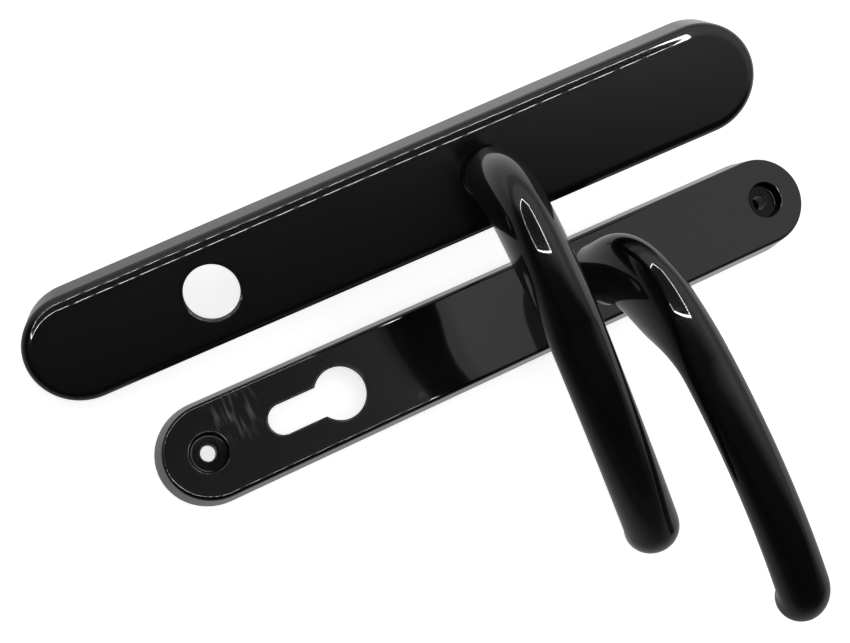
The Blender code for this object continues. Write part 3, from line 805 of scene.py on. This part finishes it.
def metal(name, colour, roughness, grain_scale, grain_stretch):
    """Clouded metal with a grain that is fine along the axes with a large stretch."""
    graph = new_material(name)
    shader = graph.shader
    place = graph.place(local=False)
    graph.feed(shader, "Metallic", 1.0)
    cloud = graph.ramp(graph.noise(place, scale=90.0, detail=3.0), low=0.3, high=0.7)
    shaded = [0.75 * part for part in colour]
    graph.feed(shader, "Base Color", graph.between(shaded, colour, cloud))
    grain = graph.noise(graph.stretched(place, grain_stretch), grain_scale, detail=3.0)
    rough = graph.ramp(grain, low=0.2, high=0.8, out_low=0.75 * roughness, out_high=1.3 * roughness)
    graph.feed(shader, "Roughness", rough)
    graph.feed(shader, "Normal", graph.bump(grain, strength=0.15, distance=0.1 * MM))
    return graph.owner


def nylon():
    """Off-white nylon, a little translucent and finely mottled."""
    graph = new_material("natural_nylon")
    shader = graph.shader
    place = graph.place(local=False)
    graph.feed(shader, "Subsurface Weight", 0.2)
    graph.feed(shader, "Subsurface Radius", (2 * MM, 2 * MM, 1.5 * MM))
    mottle = graph.noise(place, scale=300.0, detail=3.0)
    graph.feed(shader, "Base Color", graph.between((0.66, 0.64, 0.58), (0.8, 0.79, 0.74), mottle))
    graph.feed(shader, "Roughness", 0.45)
    pores = graph.noise(place, scale=900.0, detail=2.0)
    graph.feed(shader, "Normal", graph.bump(pores, strength=0.1, distance=0.1 * MM))
    return graph.owner


# ---------------------------------------------------------------- stage


def camera_place():
    return handle_frame("inside").translation + CAMERA_FROM_SPINDLE


def camera():
    data = bpy.data.cameras.new("camera")
    data.lens = CAMERA_LENS_MM
    data.sensor_width = CAMERA_SENSOR_MM
    data.clip_start, data.clip_end = CAMERA_CLIP
    obj = bpy.data.objects.new("camera", data)
    turn = Matrix((CAMERA_RIGHT, CAMERA_UP, CAMERA_BACK)).transposed().to_4x4()
    obj.matrix_world = Matrix.Translation(camera_place()) @ turn
    bpy.context.scene.collection.objects.link(obj)
    bpy.context.scene.camera = obj


def stage_object(name, bm, centre, material):
    """A flat piece of the stage, with its origin at its centre."""
    obj = add_object(name, bm, Matrix())
    obj.location = centre
    obj.data.materials.append(material)
    return obj


def sheet(name, centre, half, material):
    bm = bmesh.new()
    bm.faces.new([bm.verts.new((x, y, 0)) for x, y in rectangle(-half, half, half)])
    return stage_object(name, bm, centre, material)


def brightness(graph, place, step):
    """A smooth step from the dark to the bright side of the studio."""
    return graph.ramp(graph.measure("DOT_PRODUCT", place, BRIGHT_SIDE), *step)


def floor_material():
    """White paper, with a painted shadow under the upper screw hole.

    Mirrored in the black paint it is darker, most of all on the dark side of the studio.
    """
    graph = new_material("pale_floor")
    shader = graph.shader
    place = graph.place(local=False)
    under_screw = handle_frame("inside") @ Vector((UPPER_SCREW_X, 0, 0))
    under_screw.z = 0
    # Painted shadow: colour and glow go dark in a spot of floor under the upper screw hole, as if the plate
    # shaded it.
    outside_painted_shadow = graph.ramp(graph.measure("DISTANCE", place, under_screw), *SCREW_HOLE_SHADOW_R)
    graph.feed(shader, "Base Color", graph.math("MULTIPLY", outside_painted_shadow, FLOOR_WHITE))
    graph.feed(shader, "Roughness", FLOOR_ROUGHNESS)
    graph.feed(shader, "Emission Color", (1, 1, 1, 1))
    graph.feed(shader, "Emission Strength", graph.math("MULTIPLY", outside_painted_shadow, FLOOR_GLOW))
    mirrored = graph.add("ShaderNodeEmission")
    graph.feed(mirrored, "Strength", brightness(graph, place, FLOOR_MIRRORED))
    graph.show_mirrored(shader.outputs[0], mirrored.outputs[0])
    return graph.owner


def ceiling_material():
    """Bright towards the studio's bright side, with a dark opening for the camera."""
    graph = new_material("pale_ceiling")
    place = graph.place(local=False)
    across = graph.add("ShaderNodeSeparateXYZ")
    graph.feed(across, 0, place)
    edges = []
    for axis, half in (("X", OPENING_HALF_X), ("Y", OPENING_HALF_Y)):
        from_middle = graph.math("ABSOLUTE", across.outputs[axis])
        edges.append(graph.ramp(from_middle, half, half + OPENING_EDGE))
    outside = graph.math("MAXIMUM", *edges)
    fade = graph.ramp(graph.measure("DISTANCE", place, (0, 0, 0)), *CEILING_FADE)
    panel = graph.math("MULTIPLY", brightness(graph, place, CEILING_MIRRORED), fade)
    glow = graph.add("ShaderNodeEmission")
    graph.feed(glow, "Strength", graph.ramp(outside, 0.0, 1.0, OPENING_GLOW, panel))
    graph.output(glow.outputs[0])
    return graph.owner


def lamp_material():
    """Bright in a first reflection only, so that no stray lines come from reflections of reflections."""
    graph = new_material("lamps")
    reflections = graph.add("ShaderNodeLightPath").outputs["Glossy Depth"]
    first_only = graph.math("LESS_THAN", reflections, 2)
    glow = graph.add("ShaderNodeEmission")
    graph.feed(glow, "Strength", graph.math("MULTIPLY", first_only, LAMP_STRENGTH))
    graph.output(glow.outputs[0])
    return graph.owner


def lamp_frame(centre):
    """A row of small square lamps round the opening."""
    half_x, half_y, cut = OPENING_HALF_X, OPENING_HALF_Y, LAMP_CORNER_CUT
    corners = [
        (half_x, -half_y),
        (half_x, half_y - cut),
        (half_x - cut, half_y),
        (cut - half_x, half_y),
        (-half_x, half_y - cut),
        (-half_x, cut - half_y),
        (cut - half_x, -half_y),
    ]
    bm = bmesh.new()
    for start, end in zip(corners, corners[1:] + corners[:1]):
        start, end = Vector(start), Vector(end)
        count = round((end - start).length / LAMP_PITCH)
        for i in range(count):
            middle = start.lerp(end, i / count)
            square = rectangle(middle.x - LAMP_HALF, middle.x + LAMP_HALF, LAMP_HALF)
            bm.faces.new([bm.verts.new((x, y + middle.y, 0)) for x, y in square])
    return stage_object("lamp_frame", bm, centre, lamp_material())


def key_light():
    """A large soft lamp that shines straight down, unseen in reflections."""
    data = bpy.data.lights.new("key", "AREA")
    data.shape = "SQUARE"
    data.size = KEY_SIZE
    data.energy = KEY_POWER
    obj = bpy.data.objects.new("key", data)
    obj.location.z = KEY_HEIGHT
    obj.visible_glossy = False
    bpy.context.scene.collection.objects.link(obj)


def world():
    """White to the camera. In reflections one side of the studio is dark and the other is grey."""
    graph = Graph(bpy.data.worlds.new("studio"))
    bpy.context.scene.world = graph.owner
    background = graph.tree.nodes["Background"]
    graph.feed(background, "Color", (1, 1, 1, 1))
    direction = graph.add("ShaderNodeTexCoord").outputs["Generated"]
    seen_directly = graph.add("ShaderNodeLightPath").outputs["Is Camera Ray"]
    mirrored = brightness(graph, direction, WORLD_MIRRORED)
    graph.feed(background, "Strength", graph.math("MAXIMUM", mirrored, seen_directly))


def stage():
    bpy.context.scene.view_settings.view_transform = "Standard"
    world()
    sheet("floor", Vector((0, 0, FLOOR_Z)), FLOOR_HALF, floor_material())
    over = camera_place() + OPENING_SHIFT
    above = Vector((0, 0, CEILING_ABOVE_LAMPS))
    ceiling = sheet("ceiling", over + above, CEILING_HALF, ceiling_material())
    lamps = lamp_frame(over)
    for obj in (ceiling, lamps):
        obj.visible_camera = False
        obj.visible_diffuse = False
        obj.visible_shadow = False
    key_light()
    camera()


# ---------------------------------------------------------------- build

plate_black = {
    "outside": gloss_black("outside_plate_gloss_black"),
    "inside": gloss_black("inside_plate_gloss_black", screwed=True),
}
lever_black = gloss_black("lever_gloss_black")
spring_metal = metal(
    "oiled_spring_steel",
    colour=(0.42, 0.41, 0.4),
    roughness=0.3,
    grain_scale=500.0,
    grain_stretch=(1, 1, 6),
)
zinc_plating = metal(
    "bright_zinc_plating",
    colour=(0.62, 0.63, 0.64),
    roughness=0.32,
    grain_scale=700.0,
    grain_stretch=(1, 6, 6),
)
phosphated_steel = metal(
    "phosphated_steel",
    colour=(0.3, 0.3, 0.31),
    roughness=0.42,
    grain_scale=900.0,
    grain_stretch=(1, 1, 1),
)
finishes = {
    "plated_steel": zinc_plating,
    "dark_steel": phosphated_steel,
    "spring_steel": spring_metal,
    "nylon": nylon(),
}
for side in PLATE_SHAPE:
    backplate(side).data.materials.append(plate_black[side])
    lever(side).data.materials.append(lever_black)
    return_spring(side).data.materials.append(spring_metal)
for part in frame["record"]["subparts"]:
    node = frame["nodes"][part["node"]]
    if part["material_slot"] in finishes:
        node.data.materials.clear()
        node.data.materials.append(finishes[part["material_slot"]])
stage()
